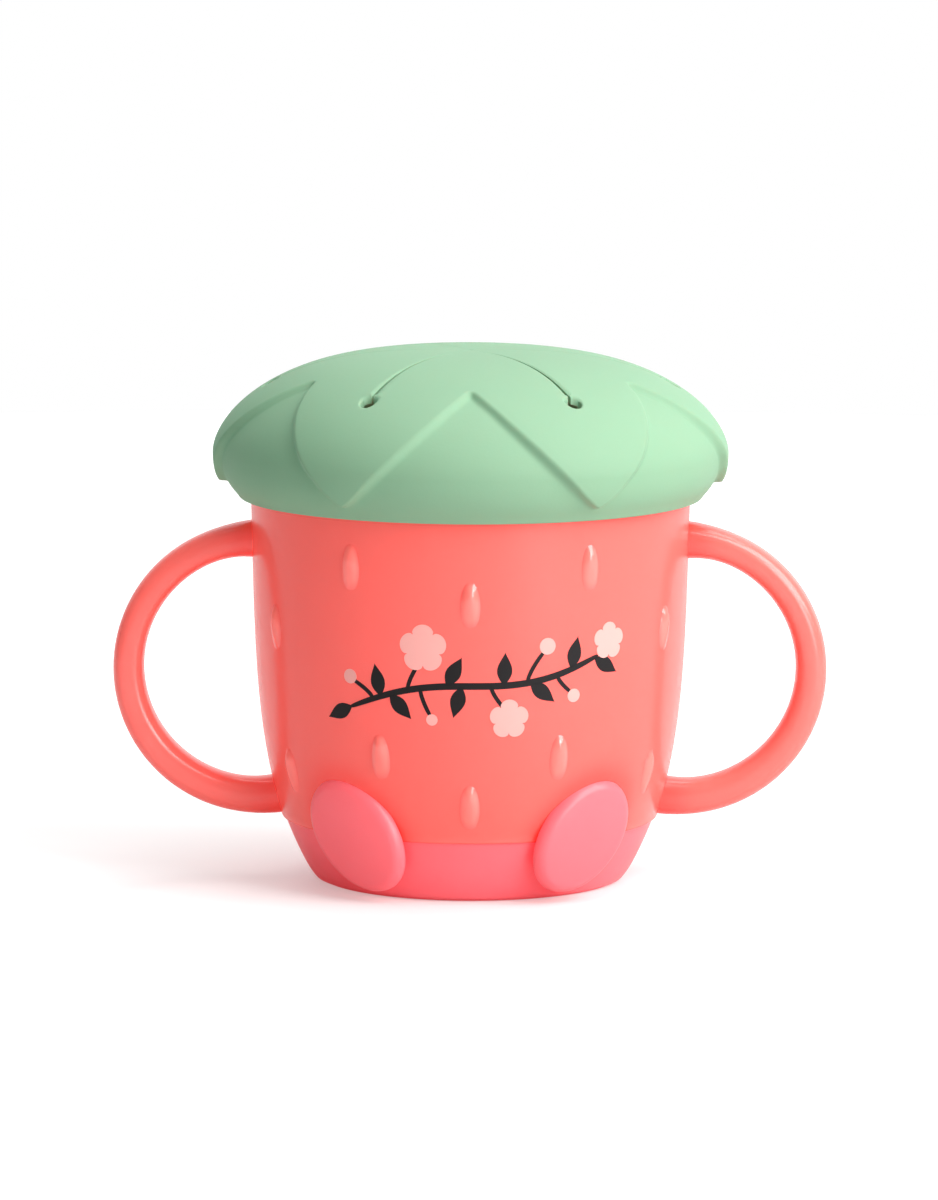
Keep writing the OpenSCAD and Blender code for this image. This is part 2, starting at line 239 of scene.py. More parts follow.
def plastic(name, colour, rough, soft=0.0, depth=0.004, grain=0.0, grain_size=900, shade=0.92,
            ior=1.48, glow=None, glow_power=0.1, painted_tone=None):
    """Moulded plastic: a colour that drifts slowly to a slightly darker shade of itself, a
    little depth of light inside, a faint painted glow, light that it gives off itself in place
    of the light that comes through it, and a fine grain in its roughness and relief. If a
    second colour is given, it is the painted light or shade that the plastic takes where the
    value kept on the mesh for it is one."""
    made = bpy.data.materials.new(name)
    made.use_nodes = True
    tree = made.node_tree
    shader = tree.nodes["Principled BSDF"]
    where = tree.nodes.new("ShaderNodeTexCoord")
    drift = tree.nodes.new("ShaderNodeTexNoise")
    drift.inputs["Scale"].default_value = 22
    drift.inputs["Detail"].default_value = 1
    tint = tree.nodes.new("ShaderNodeMix")
    tint.data_type = "RGBA"
    tint.inputs["A"].default_value = colour
    tint.inputs["B"].default_value = tuple(c * shade for c in colour[:3]) + (1,)
    fine = tree.nodes.new("ShaderNodeTexNoise")
    fine.inputs["Scale"].default_value = grain_size
    fine.inputs["Detail"].default_value = 3
    relief = tree.nodes.new("ShaderNodeBump")
    relief.inputs["Strength"].default_value = grain
    relief.inputs["Distance"].default_value = 0.0002
    link = tree.links.new
    link(where.outputs["Object"], drift.inputs["Vector"])
    link(where.outputs["Object"], fine.inputs["Vector"])
    link(drift.outputs["Fac"], tint.inputs["Factor"])
    link(tint.outputs["Result"], shader.inputs["Base Color"])
    if painted_tone:
        amount, deeper = tree.nodes.new("ShaderNodeAttribute"), tree.nodes.new("ShaderNodeMix")
        amount.attribute_name = "painted_tone"
        deeper.data_type = "RGBA"
        deeper.inputs["B"].default_value = painted_tone
        link(amount.outputs["Fac"], deeper.inputs["Factor"])
        link(tint.outputs["Result"], deeper.inputs["A"])
        link(deeper.outputs["Result"], shader.inputs["Base Color"])
    link(ramp(tree, fine.outputs["Fac"], 0, 1, rough - 0.05, rough + 0.05),
         shader.inputs["Roughness"])
    link(fine.outputs["Fac"], relief.inputs["Height"])
    link(relief.outputs["Normal"], shader.inputs["Normal"])
    shader.inputs["IOR"].default_value = ior
    shader.inputs["Subsurface Weight"].default_value = soft
    shader.inputs["Subsurface Radius"].default_value = (1.0, 0.35, 0.3)
    shader.inputs["Subsurface Scale"].default_value = depth
    if glow:
        shader.inputs["Emission Color"].default_value = glow
        shader.inputs["Emission Strength"].default_value = glow_power
    return made


def wall_painted_tone(points):
    """How far the wall's colour nears the deep, painted one at each point, from 0 to 1: the
    larger of two bell curves, one of the distance past the ends of a handle's root, and one
    of the distance past the oval of a foot pad. Round the pads it is a painted shade; at the
    roots it is painted light for the thicker plastic."""
    x, y, z = points[..., 0], points[..., 1], points[..., 2]
    side_off = np.maximum(np.abs(y) - ROOT_HALF_Y, 0)
    root_off = np.minimum(np.abs(z - TOP_ROOT_Z), np.abs(z - LOW_ROOT_Z))
    root_off = np.maximum(root_off - ROOT_HALF_Z, 0)
    pad_x = (np.arctan2(np.abs(x), -y) - np.radians(PAD_AZ)) * PAD_WALL_R
    pad_z, lean = z - PAD_Z, math.radians(PAD_LEAN)
    p = pad_x * np.sin(lean) + pad_z * np.cos(lean)
    q = pad_z * np.sin(lean) - pad_x * np.cos(lean)
    pad_off = np.maximum(np.hypot(p / PAD_LONG, q / PAD_SHORT) - 1, 0) * PAD_MEAN_R
    return np.maximum(ROOT_PAINTED_DEEP * np.exp(-(side_off ** 2 + root_off ** 2) / ROOT_FADE),
                      PAD_PAINTED_SHADE * np.exp(-(pad_off / PAD_FADE) ** 2))


# The profile: the bottom and side inside the boot, the foot's edge, the outer face, the
# rounded rim, the inner face down to four steps above the foot, and the floor.
upright = np.linspace(FOOT_Z + FOOT_UP, RIM_Z - RIM_OUT, 72)
inside = upright[::-1][:-4]
edge_turn = np.radians(np.linspace(-90, -8, 8))
foot_edge = np.stack((wall_r(FOOT_Z + FOOT_UP) - FOOT_IN * (1 - np.cos(edge_turn)),
                      FOOT_Z + FOOT_ROUND * (1 + np.sin(edge_turn))), -1)
in_boot = np.linspace(BOOT_T, FOOT_Z, 8)
cup_profile = np.concatenate((
    [(0, BOOT_T)],
    [(boot_r(BOOT_T) - BOOT_T, BOOT_T)],
    np.stack((boot_r(in_boot) - BOOT_T, in_boot), -1),
    foot_edge,
    np.stack((wall_r(upright), upright), -1),
    arc(CUP_R - RIM_OUT, RIM_Z - RIM_OUT, RIM_OUT, 0, 90),
    arc(CUP_R - WALL_T + RIM_IN, RIM_Z - RIM_IN, RIM_IN, 90, 180),
    np.stack((wall_r(inside) - WALL_T, inside), -1),
    arc(FLOOR_R, FLOOR_CURVE_Z, FLOOR_CURVE, -10, -90),
    [(0, FLOOR_Z)],
))
cup_coral = plastic("cup_coral", CUP_CORAL, 0.22, soft=0.25, glow=CUP_GLOW,
                    glow_power=CUP_GLOW_POWER, painted_tone=CUP_PAINTED_DEEP)
cup_points = turned(cup_profile, 240)
cup = piece("cup_wall", cup_points, painted_tone=wall_painted_tone(cup_points))
cup.data.materials.append(cup_coral)
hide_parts("cup_shell")
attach(cup, "cup")

# The two handles. Round loops of the same plastic, moulded in one with the wall: a flat
# band with a crowned face, thinner at the top than at the side, that widens into the wall.
LOOP_R, LOOP_X, LOOP_Z = 28.4, 40.85, 40.8
HOLE_R, HOLE_X, HOLE_Z = 21.9, 41.35, 41.2
# The band's start and end, in degrees round the loop, lie inside the wall.
LOOP_FROM, LOOP_TO = 92.5, -104
BAND_DEEP, BAND_ROUND = 8.6, 2.7
ROOT_SWELL, LOW_SWELL, ROOT_LONG, ROOT_TONE_LONG = 0.5, 0.4, 10.0, 5
# The handles' coral is the wall's painted a little paler, a painted lightening for the light the
# glossy loops catch.
HANDLE_LIT_CORAL = (0.96, 0.165, 0.14, 1)
handle_lit_coral = plastic("handle_lit_coral", HANDLE_LIT_CORAL, 0.21, soft=0.3, ior=1.6, glow=CUP_GLOW,
                       glow_power=CUP_GLOW_POWER, painted_tone=CUP_PAINTED_DEEP)


def loop_handle(side):
    """A band carried along the loop: across it, a rounded rectangle by powers of cosine and
    sine; its outer and inner edges follow two circles; near the wall it swells a little, by
    the square of what is left of the root's length. Its painted deeper tone, a painted
    deepening for the thicker plastic at the root, falls off from the wall by a bell curve."""
    turn = np.radians(np.linspace(LOOP_FROM, LOOP_TO, 150))[:, None]
    around = np.linspace(0, 2 * np.pi, 48, endpoint=False)[None, :]
    out = np.stack((LOOP_X + LOOP_R * np.cos(turn), LOOP_Z + LOOP_R * np.sin(turn)), -1)
    hole = np.stack((HOLE_X + HOLE_R * np.cos(turn), HOLE_Z + HOLE_R * np.sin(turn)), -1)
    middle, half = (out + hole) / 2, (out - hole) / 2
    clear = middle[..., 0] - wall_r(middle[..., 1])
    root = ROOT_SWELL * np.where(middle[..., 1] > HOLE_Z, 1, LOW_SWELL)
    swell = root * np.clip(1 - clear / ROOT_LONG, 0, 1) ** 2
    power = 2 / BAND_ROUND
    across = np.sign(np.cos(around)) * np.abs(np.cos(around)) ** power
    deep = np.sign(np.sin(around)) * np.abs(np.sin(around)) ** power
    thick = np.linalg.norm(half, axis=-1)
    flat = middle + half * (1 + swell / thick)[..., None] * across[..., None]
    y = (BAND_DEEP / 2 + swell) * deep
    points = np.stack((side * flat[..., 0], y, flat[..., 1]), -1)
    ends = points.mean(axis=1, keepdims=True) + 0 * points
    painted_tone = ROOT_PAINTED_DEEP * np.exp(-(np.maximum(clear, 0) / ROOT_TONE_LONG) ** 2) + 0 * y
    return (np.concatenate((ends[:1], points, ends[-1:])),
            np.concatenate((painted_tone[:1], painted_tone, painted_tone[-1:])))


for side, name in ((1, "right_handle"), (-1, "left_handle")):
    points, painted_tone = loop_handle(side)
    loop = piece(name + "_loop", points, painted_tone=painted_tone)
    loop.data.materials.append(handle_lit_coral)
    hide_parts(name)
    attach(loop, "cup")

# The seeds. Small raised drops moulded on the wall: fuller below, narrower above, and
# domed. Their paler pink is painted light, for the light that the raised plastic catches
# and lets through, and it fades to the wall's coral at their edge. Each place is an
# azimuth and a height.
SEED_W, SEED_H, SEED_T, SEED_ROOT, SEED_CREST = 3.9, 8.8, 0.9, 0.4, 1.4
SEED_DOME, SEED_LIT_SPREAD = 1.15, 3.5
SEED_LIT_PINK = (1.0, 0.195, 0.165, 1)
seed_places = np.array((
    (32.5, 65.3), (-32.5, 65.3), (0, 58.9), (62.5, 51.6), (-62.5, 51.6), (25, 29), (-25, 29),
    (0, 19.6), (60.5, 23.6), (-60.5, 23.6), (147.5, 65.3), (-147.5, 65.3), (180, 58.9),
    (117.5, 51.6), (-117.5, 51.6), (155, 44), (-155, 44), (180, 29), (119.5, 23.6),
    (-119.5, 23.6), (150, 19.6), (-150, 19.6),
))


def drop_outline():
    """A drop: height is the cosine of an angle; width is its sine to the power 0.8, times
    the sum of four fifths and one fifth of the half angle's sine, which narrows the drop
    to its top; both are then scaled to the seed's size."""
    a = np.linspace(0, 2 * np.pi, 48, endpoint=False)
    wide = np.sign(np.sin(a)) * np.abs(np.sin(a)) ** 0.8 * (0.8 + 0.2 * np.abs(np.sin(a / 2)))
    return np.stack((wide / wide.max() * SEED_W / 2, np.cos(a) * SEED_H / 2), -1)


def wall_pads(outlines, places, lift, root, crest=0.0):
    """Pads on the cup wall, one for each place (azimuth, height): rings scaled from the pad's
    outline about its crest by the sine of equal steps of a quarter turn, each lifted off the
    wall by its own amount; then a skirt into the wall and a flat back."""
    share = np.sin(np.linspace(0, np.pi / 2, len(lift)))
    scale = np.concatenate((share, [1.0, 0.0]))
    lift = np.concatenate((lift, [-root, -root]))
    flat = scale[:, None, None] * np.atleast_3d(outlines)[:, None]
    flat = flat + (1 - scale[:, None, None]) * np.array((0, crest))
    places = np.asarray(places, float)[:, None, None]
    z = places[..., 1] + flat[..., 1]
    r = wall_r(z) + lift[None, :, None]
    angle = np.radians(places[..., 0]) + flat[..., 0] / wall_r(z)
    return np.stack((r * np.sin(angle), -r * np.cos(angle), z), -1)


ring_share = np.sin(np.linspace(0, np.pi / 2, 12))
seed_lift = SEED_T * (1 - ring_share ** 2) ** SEED_DOME
seed_points = wall_pads(drop_outline()[None], seed_places, seed_lift, SEED_ROOT, SEED_CREST)
# How far each ring of a seed turns to the painted lighter pink: fully in the middle, not at all
# at the edge.
lit_share = np.concatenate((np.clip(SEED_LIT_SPREAD * (1 - ring_share), 0, 1), [0, 0]))[:, None]
seeds = piece("seed_drops", seed_points, painted_tone=lit_share + 0 * seed_points[..., 0])
seeds.data.materials.append(plastic("seed_lit_pink", CUP_CORAL, 0.1, soft=0.25, ior=1.7,
                                    glow=CUP_GLOW, glow_power=CUP_GLOW_POWER, painted_tone=SEED_LIT_PINK))
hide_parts("seed_dots")
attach(seeds, "cup")

# The boot. A soft thermoplastic rubber sole moulded round the foot of the cup, with a fine
# parting groove under the wall and a shallow recess in its underside.
RECESS_Z, RECESS_R, RECESS_EDGE_R = 0.5, 22.0, 23.0
HEEL_IN_R, HEEL_R, HEEL_CURVE, TOP_CURVE = 27.9, 28.6, 0.75, 0.2
INNER_UP, INNER_FLOOR_R = 0.1, 26.0
# The second colour is the rubber's painted glow, in place of the light that passes through it.
BOOT_PINK, BOOT_GLOW = (0.95, 0.16, 0.19, 1), (1.0, 0.06, 0.07, 1)
up = np.linspace(RECESS_Z, FOOT_Z - TOP_CURVE, 30)
boot_profile = np.concatenate((
    [(0, RECESS_Z)], [(RECESS_R, RECESS_Z)],
    arc(RECESS_EDGE_R, RECESS_Z, RECESS_Z, 180, 270, 4), [(HEEL_IN_R, 0)],
    arc(HEEL_R, HEEL_CURVE, HEEL_CURVE, -90, -30, 4),
    np.stack((boot_r(up), up), -1),
    arc(BOOT_R - TOP_CURVE, FOOT_Z - TOP_CURVE, TOP_CURVE, 20, 90, 5),
    [(BOOT_R - BOOT_T, FOOT_Z)],
    np.stack((boot_r(up[::-1]) - BOOT_T, up[::-1] + INNER_UP), -1)[:-3],
    [(INNER_FLOOR_R, BOOT_T)], [(0, BOOT_T)],
))
boot_rubber = plastic("boot_rubber", BOOT_PINK, 0.33, soft=0.15, grain=0.02, grain_size=1400,
                      glow=BOOT_GLOW, glow_power=0.2)
boot = piece("boot_sole", turned(boot_profile, 192))
boot.data.materials.append(boot_rubber)
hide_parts("base_boot")
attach(boot, "cup")

# The two foot pads. Soft oval pads of the boot's rubber, each on a short neck from the
# boot: a slightly domed face with a rounded rim, leaning out at the top. Their ovals and
# places are given with the cup, whose wall is painted deeper round them, a painted shade
# where they meet it.
PAD_T, PAD_CROWN, PAD_EDGE, PAD_BACK, RIM_FROM = 3.6, 1.0, 2.3, 0.4, 15
PAD_TILT, PAD_REACH, NECK_IN, NECK_LONG, BURIED = 10.0, 39.5, 2.6, 8.0, 0.9


def foot_pad(side):
    """An oval carried from its face to its neck: a face that falls from its middle by the
    square of the way out, a rim of most of a quarter round, a side, a rounded back and a
    neck; then leaned, tilted and moved out to its place, with no point of it buried deeper
    in the cup than BURIED."""
    face = np.linspace(0, 1, 16)[:-1]
    rim = np.radians(np.linspace(RIM_FROM, 90, 10))
    back = np.radians(np.linspace(0, 90, 5))
    brow = PAD_EDGE * (1 - np.sin(rim[0]))
    inset = np.concatenate((
        PAD_EDGE * (1 - np.sin(rim)), PAD_BACK * (1 - np.cos(back)), np.full(3, NECK_IN),
    ))
    depth = -np.concatenate((
        PAD_CROWN + PAD_EDGE * (np.cos(rim[0]) - np.cos(rim)),
        PAD_T - PAD_BACK + PAD_BACK * np.sin(back), PAD_T + NECK_LONG * np.linspace(0.02, 1, 3),
    ))
    long_r = np.concatenate(((PAD_LONG - brow) * face, PAD_LONG - inset, [0.0]))
    short_r = np.concatenate(((PAD_SHORT - brow) * face, PAD_SHORT - inset, [0.0]))
    depth = np.concatenate((-PAD_CROWN * face ** 2, depth, [depth[-1]]))[:, None]
    a = np.linspace(0, 2 * np.pi, 96, endpoint=False)[None, :]
    p, q = long_r[:, None] * np.cos(a), short_r[:, None] * np.sin(a)
    lean, tilt, az = (math.radians(v) for v in (PAD_LEAN, PAD_TILT, PAD_AZ))
    across = side * (p * math.sin(lean) - q * math.cos(lean))
    high = p * math.cos(lean) + q * math.sin(lean)
    out = PAD_REACH + depth * math.cos(tilt) + high * math.sin(tilt)
    z = PAD_Z + high * math.cos(tilt) - depth * math.sin(tilt)
    x = side * out * math.sin(az) + across * math.cos(az)
    y = -out * math.cos(az) + side * across * math.sin(az)
    body = np.where(z < FOOT_Z, boot_r(z), wall_r(z)) - BURIED
    keep = np.maximum(1, body / np.maximum(np.hypot(x, y), 1))
    return np.stack((x * keep, y * keep, z), -1)


for side, name in ((1, "right_foot"), (-1, "left_foot")):
    pad = piece(name + "_pad", foot_pad(side))
    pad.data.materials.append(boot_rubber)
    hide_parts(name)
    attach(pad, "cup")

# The lid. A thick soft dome of matt green rubber, moulded over the carrier ring: six
# leaves stand out of it as one raised skin, parted by pointed valleys between them.
LID_R, GIRTH_Z, DOME_H, DOME_FLAT, DOME_FULL = 49.9, 83.4, 20.1, 2.7, 1.7
LIP_Z, LIP_TUCK, LIP_CURVE, LIP_IN_R, LEAF_T = 74.6, 3.2, 2.5, 43.1, 1.6
LIP_CURVE_OUT, LIP_CURVE_IN, SKIN_STOP = 0.75, 0.5, 0.6
ROOT_X, END_R, END_HOLE_R, END_ROUND = 33.636, 38.84, 1.6, 0.4
SAG, SAG_R, SAG_CURVE = 0.6, 31.0, 1.3
HOLLOW_R, HOLLOW_H, SEAT_R, SEAT_TOP, SEAT_Z, SEAT_IN = 45.2, 16.1, 44.62, 84.0, 75.6, 0.3
THIN, THIN_FROM, THIN_OVER = 0.6, 0.6, 12
# The second colour is the rubber's painted green glow, which lightens and greens its shaded
# parts.
LID_GREEN, LID_GLOW = (0.235, 0.385, 0.25, 1), (0.1, 0.5, 0.25, 1)

# The leaves' smooth skin in profile: down to the widest line, radius and height by powers
# of the cosine and sine of a quarter turn; below it, a tuck by a power of the way down; and
# a sag in the middle by a power of the way in.
climb = np.radians(np.linspace(90, 0, 2400))
sink = np.linspace(0, 1, 900)[1:]
lid_line = np.concatenate((
    np.stack((LID_R * np.cos(climb) ** (2 / DOME_FLAT),
              GIRTH_Z + DOME_H * np.sin(climb) ** (2 / DOME_FULL)), -1),
    np.stack((LID_R - LIP_TUCK * sink ** LIP_CURVE, GIRTH_Z - (GIRTH_Z - LIP_Z) * sink), -1),
))
lid_line[0] = (0, GIRTH_Z + DOME_H)
lid_line[:, 1] -= SAG * np.clip(1 - lid_line[:, 0] / SAG_R, 0, 1) ** SAG_CURVE
lid_run = np.concatenate(([0], np.cumsum(np.linalg.norm(np.diff(lid_line, axis=0), axis=1))))


def lid_skin(run):
    """Radius, height and outward direction (in radius, in height) of the leaves' smooth
    skin at a distance run down it from its apex. The direction is square to the line
    between two points of the skin a short step to either side."""
    step = 0.05
    (r, r_past, r_short), (z, z_past, z_short) = (
        [np.interp(run + more, lid_run, lid_line[:, k]) for more in (0, step, -step)]
        for k in (0, 1))
    dr, dz = r_past - r_short, z_past - z_short
    size = np.hypot(dr, dz)
    return r, z, -dz / size, dr / size


def run_at(r):
    """Distance down the skin from its apex to radius r, above the widest line."""
    top = len(climb)
    return np.interp(r, lid_line[:top, 0], lid_run[:top])


# Height of the leaves' edge over distance across from a valley's middle: from its pointed
# head, where two leaves meet, down to the lip. The step from leaf to valley is EDGE_SOFT
# wide, with a share of EDGE_OUT on the valley's side of the line, and the line's corners
# are rounded over EDGE_BEND tenths of a millimetre.
EDGE_ACROSS = (0, 1.9, 4.6, 8.7, 12.8, 16.9, 19.5, 22.0, 23.3, 24.2, 27)
EDGE_HIGH = (98.8, 97.5, 95.6, 92.3, 88.8, 84.9, 82.1, 79.1, 77.6, 76.9, 76.8)
EDGE_SOFT, EDGE_OUT, EDGE_BEND = 2.2, 0.75, 5.0


def valley_share(x, y, z):
    """How far each point of a grid has sunk from the leaves to the valley floor, from 0 to 1:
    a cosine of half a turn times the square of its share of the step's width, which makes
    the step steep near the leaf and ease out over the valley. The share is the point's
    height over the edge line, with the line's corners rounded by a bell curve, divided by
    how fast that height changes along the surface."""
    from_valley = np.mod(np.arctan2(x, -y) + np.pi / 6, np.pi / 3) - np.pi / 6
    across = np.abs(np.hypot(x, y) * np.sin(from_valley))
    line_u = np.linspace(0, EDGE_ACROSS[-1], 271)
    line_z = np.interp(line_u, EDGE_ACROSS, EDGE_HIGH)
    bell = np.exp(-0.5 * (np.arange(-12, 13) / EDGE_BEND) ** 2)
    line_z = np.concatenate((line_z[1:13][::-1], line_z, np.full(12, line_z[-1])))
    line_z = np.convolve(line_z, bell / bell.sum(), "valid")
    above = z - np.interp(across, line_u, line_z)
    place = np.stack((x, y, z), -1)
    along, down = np.gradient(place, axis=1), np.gradient(place, axis=0)
    f_along, f_down = np.gradient(above, axis=1), np.gradient(above, axis=0)
    e, g = (along ** 2).sum(-1), (down ** 2).sum(-1)
    f = (along * down).sum(-1)
    steep = (g * f_along ** 2 - 2 * f * f_along * f_down + e * f_down ** 2) / (e * g - f * f)
    inside = np.clip(above / np.sqrt(np.maximum(steep, 1e-6)) / EDGE_SOFT + EDGE_OUT, 0, 1)
    return 0.5 + 0.5 * np.cos(np.pi * inside ** 2)


def hole_fall(x, y):
    """How far the rim of the round slit ends falls away: a quarter round."""
    to_hole = np.mod(np.arctan2(x, -y), np.pi / 3) - np.pi / 6
    r = np.hypot(x, y)
    off = np.hypot(r * np.cos(to_hole) - END_R, r * np.sin(to_hole)) - END_HOLE_R
    near = np.clip(1 - off / END_ROUND, 0, 1)
    return END_ROUND * (1 - np.sqrt(1 - near ** 2))


def opening_edge(columns):
    """The lid's inner boundary in plan, over one sixth: half a slit end's outer rim, the
    straight root line of a flap, and half the next rim. Seven tenths of the columns lie on
    the line. Also each column's angle further out, in even steps over each of the parts."""
    half = END_R * math.sin(math.pi / 6)
    line = columns * 7 // 10
    bow = (columns - line) // 2
    y = np.linspace(-1, 1, line) * (half - END_HOLE_R)
    a = np.radians(np.linspace(0, 120, bow + 1)[1:])
    bow_x, bow_y = ROOT_X + END_HOLE_R * np.sin(a), half - END_HOLE_R * np.cos(a)
    x = np.concatenate((bow_x[::-1], ROOT_X + 0 * y, bow_x[:-1]))
    y = np.concatenate((-bow_y[::-1], y, bow_y[:-1]))
    line_turn, turn = np.radians(24.3), np.pi / 6
    out = np.concatenate((np.linspace(-turn, -line_turn, bow + 1)[:-1],
                          np.linspace(-line_turn, line_turn, line),
                          np.linspace(line_turn, turn, bow + 1)[1:-1]))
    return x, y, out


def lid_dome():
    """The lid as one closed sheet, a grid that loops both ways. Over the top its columns run
    straight in plan from the opening's edge, where the rows are closer, to a circle; then
    down the side, round the lip, up the seat of the ring and back under the dome to the
    opening's edge. The leaves thin out evenly with height above the lid's widest line."""
    x0, y0, out0 = opening_edge(144)
    turn = np.arange(6) * np.pi / 3
    c, s = np.cos(turn)[:, None], np.sin(turn)[:, None]
    edge_x = (x0 * s + y0 * c).ravel()
    edge_y = (-x0 * c + y0 * s).ravel()
    angle = (out0[None] + turn[:, None]).ravel()
    outward = np.stack((np.sin(angle), -np.cos(angle)), -1)[None]
    circle_r = 46.0
    t = np.linspace(0, 1, 44)[:, None]
    t = 0.75 * t + 0.25 * t ** 2.2
    top_x = edge_x + (circle_r * np.sin(angle) - edge_x) * t
    top_y = edge_y + (-circle_r * np.cos(angle) - edge_y) * t
    top_r = np.hypot(top_x, top_y)
    side_run = np.linspace(run_at(circle_r), lid_run[-1] - SKIN_STOP, 50)[1:, None] + 0 * angle
    r, z, nr, nz = lid_skin(np.vstack((run_at(top_r), side_run)))
    way = np.concatenate((np.stack((top_x, top_y), -1) / top_r[..., None],
                          outward + 0 * side_run[..., None]))
    x, y = r * way[..., 0], r * way[..., 1]
    thin = THIN * np.clip((z - GIRTH_Z - THIN_FROM) / THIN_OVER, 0, 1)
    sunk = (LEAF_T - thin) * valley_share(x, y, z) + hole_fall(x, y)
    r, z = r - nr * sunk, z - nz * sunk
    outer = np.stack((r * way[..., 0], r * way[..., 1], z), -1)
    lip_r = LID_R - LEAF_T - LIP_TUCK
    lip = np.concatenate((
        arc(lip_r - LIP_CURVE_OUT, LIP_Z + LIP_CURVE_OUT, LIP_CURVE_OUT, -15, -90, 6),
        arc(LIP_IN_R + LIP_CURVE_IN, LIP_Z + LIP_CURVE_IN, LIP_CURVE_IN, 270, 180, 4),
        [(LIP_IN_R, SEAT_Z)], [(SEAT_R, SEAT_Z)], [(SEAT_R, SEAT_TOP)],
    ))[:, None]
    lip = np.concatenate((lip[..., :1] * outward, lip[..., 1:] + 0 * outward[..., :1]), -1)
    t = np.linspace(0, 1, 8)[:, None]
    start_r = SEAT_R - SEAT_IN
    under_x = start_r * np.sin(angle) * (1 - t) + edge_x * t
    under_y = -start_r * np.cos(angle) * (1 - t) + edge_y * t
    share = 1 - (np.hypot(under_x, under_y) / HOLLOW_R) ** DOME_FLAT
    under_z = GIRTH_Z + HOLLOW_H * np.maximum(share, 0) ** (1 / DOME_FULL)
    under = np.stack((under_x, under_y, np.maximum(under_z, SEAT_TOP)), -1)
    return np.concatenate((outer, lip, under))


lid_rubber = plastic("lid_rubber", LID_GREEN, 0.62, soft=0.2, depth=0.003, grain=0.08,
                     grain_size=1600, shade=0.95, ior=1.34, glow=LID_GLOW)
lid = piece("lid_dome", lid_dome(), loop_rows=True)
lid.data.materials.append(lid_rubber)
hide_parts("lid_cap")
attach(lid, "lid")

# The six flaps. Thin wedges of the lid's own rubber between six slits, in one piece with
# the dome along their roots, where they bend when a hand goes in.
FLAP_T, SLIT_IN, SLIT_OUT, SLIT_CURVE = 1.5, 0.01, 0.32, 1.3
EDGE_ROUND_IN, EDGE_ROUND_MORE = 0.03, 0.3


def flap_skin(azimuth):
    """A flap as a tube of grid lines across it, closer near its edges and its root, from its
    tip, where it has no width, to its root, which a middle point closes. Half width: the
    wedge less the slit, which widens outward by a power of the way, or the slit end's near
    side where that is less. Its top is the dome; its edges are rounded, more so outward;
    its underside lies a thickness below."""
    x = np.concatenate(([0.0], np.linspace(0.02, 0.93, 90), np.linspace(0.935, 1, 30)))
    tip = SLIT_IN / math.sin(math.pi / 6)
    x = (tip + (ROOT_X - tip) * x)[:, None]
    slit = SLIT_IN + (SLIT_OUT - SLIT_IN) * (x / ROOT_X) ** SLIT_CURVE
    half = x * math.tan(math.pi / 6) - slit / math.cos(math.pi / 6)
    hole_y = END_R * math.sin(math.pi / 6)
    past = np.sqrt(np.maximum(END_HOLE_R ** 2 - (x - ROOT_X) ** 2, 0))
    half = np.maximum(np.minimum(half, hole_y - past), 0)
    v = np.linspace(-1, 1, 44)
    v = 0.6 * v + 0.4 * np.sin(v * np.pi / 2)
    y = half * v[None, :]
    z = lid_skin(run_at(np.hypot(x, y)))[1]
    side = half - np.abs(y)
    round_r = EDGE_ROUND_IN + EDGE_ROUND_MORE * (x / ROOT_X) ** 2
    near = np.clip(1 - side / round_r, 0, 1) * (x < ROOT_X - END_HOLE_R)
    fall = round_r * (1 - np.sqrt(1 - near ** 2))
    a = math.radians(azimuth)
    gx, gy = x * math.sin(a) + y * math.cos(a), -x * math.cos(a) + y * math.sin(a)
    fall = fall + hole_fall(gx, gy)
    top = np.stack((gx, gy, z - fall), -1)
    low = np.stack((gx, gy, z - FLAP_T), -1)
    tube = np.concatenate((top, low[:, ::-1]), axis=1)
    return np.concatenate((tube, tube[-1:].mean(axis=1, keepdims=True) + 0 * tube[-1:]))


for number in range(6):
    azimuth = 60 * number
    flap = piece("flap_skin_%d" % (number + 1), flap_skin(azimuth))
    flap.data.materials.append(lid_rubber)
    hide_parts("flap_%d" % (number + 1))
    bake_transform(flap)

# The carrier ring. A stiff ring of coral polypropylene inside the lid that snaps over the
# cup's rim; only the slits and the open flaps show it.
RING_CORAL = (0.90, 0.15, 0.12, 1)
ring_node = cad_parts["lid_ring"]
ring_node.data.materials.clear()
ring_node.data.materials.append(plastic("ring_coral", RING_CORAL, 0.4, grain=0.03))

# The print. A garden sprig in two flat inks on the front of the wall: pale pink blossoms
# and buds on a thin black stem with black leaves. The inks lie on the plastic as a film
# a few hundredths of a millimetre thick, the pink over the black.
INK_PINK, INK_BLACK = (0.96, 0.42, 0.38, 1), (0.012, 0.010, 0.011, 1)
FILM, FILM_OVER, STEM_W, STALK_W = 0.05, 0.02, 1.3, 0.8
STEM_MID_Z, STEM_WAVE, STEM_RISE, STEM_FROM, STEM_TO = 43.2, 1.6, 0.2, -24, 26
LEAF_LONG, LEAF_WIDE = 6.4, 2.9
# Each stalk: where on the stem it starts, where it ends, and that end's height. Each leaf:
# where its base is on the stem, and its turn from level. Each blossom and bud: its radius,
# its place along the wall and its height.
stalks = ((-12, -9.5, 48), (4, 7, 38.6), (-19, -23.5, 43.8), (11, 14.5, 50), (17, 20, 41.6),
          (-9.5, -7.4, 37.4))
leaves = np.array(((-23.5, 205), (-17.5, 100), (-15.5, -48), (-4.5, 62), (-1.5, -105),
                   (6.5, 88), (11.5, -38), (20, 78), (25, -30)))
blossoms = np.array(((4.6, -9, 50.5), (3.8, 7.5, 37), (3.6, 28.5, 51)))
buds = np.array(((1.4, -24, 44.3), (1.6, 15, 50.8), (1.3, 20.5, 41), (1.1, -7.2, 36.8)))


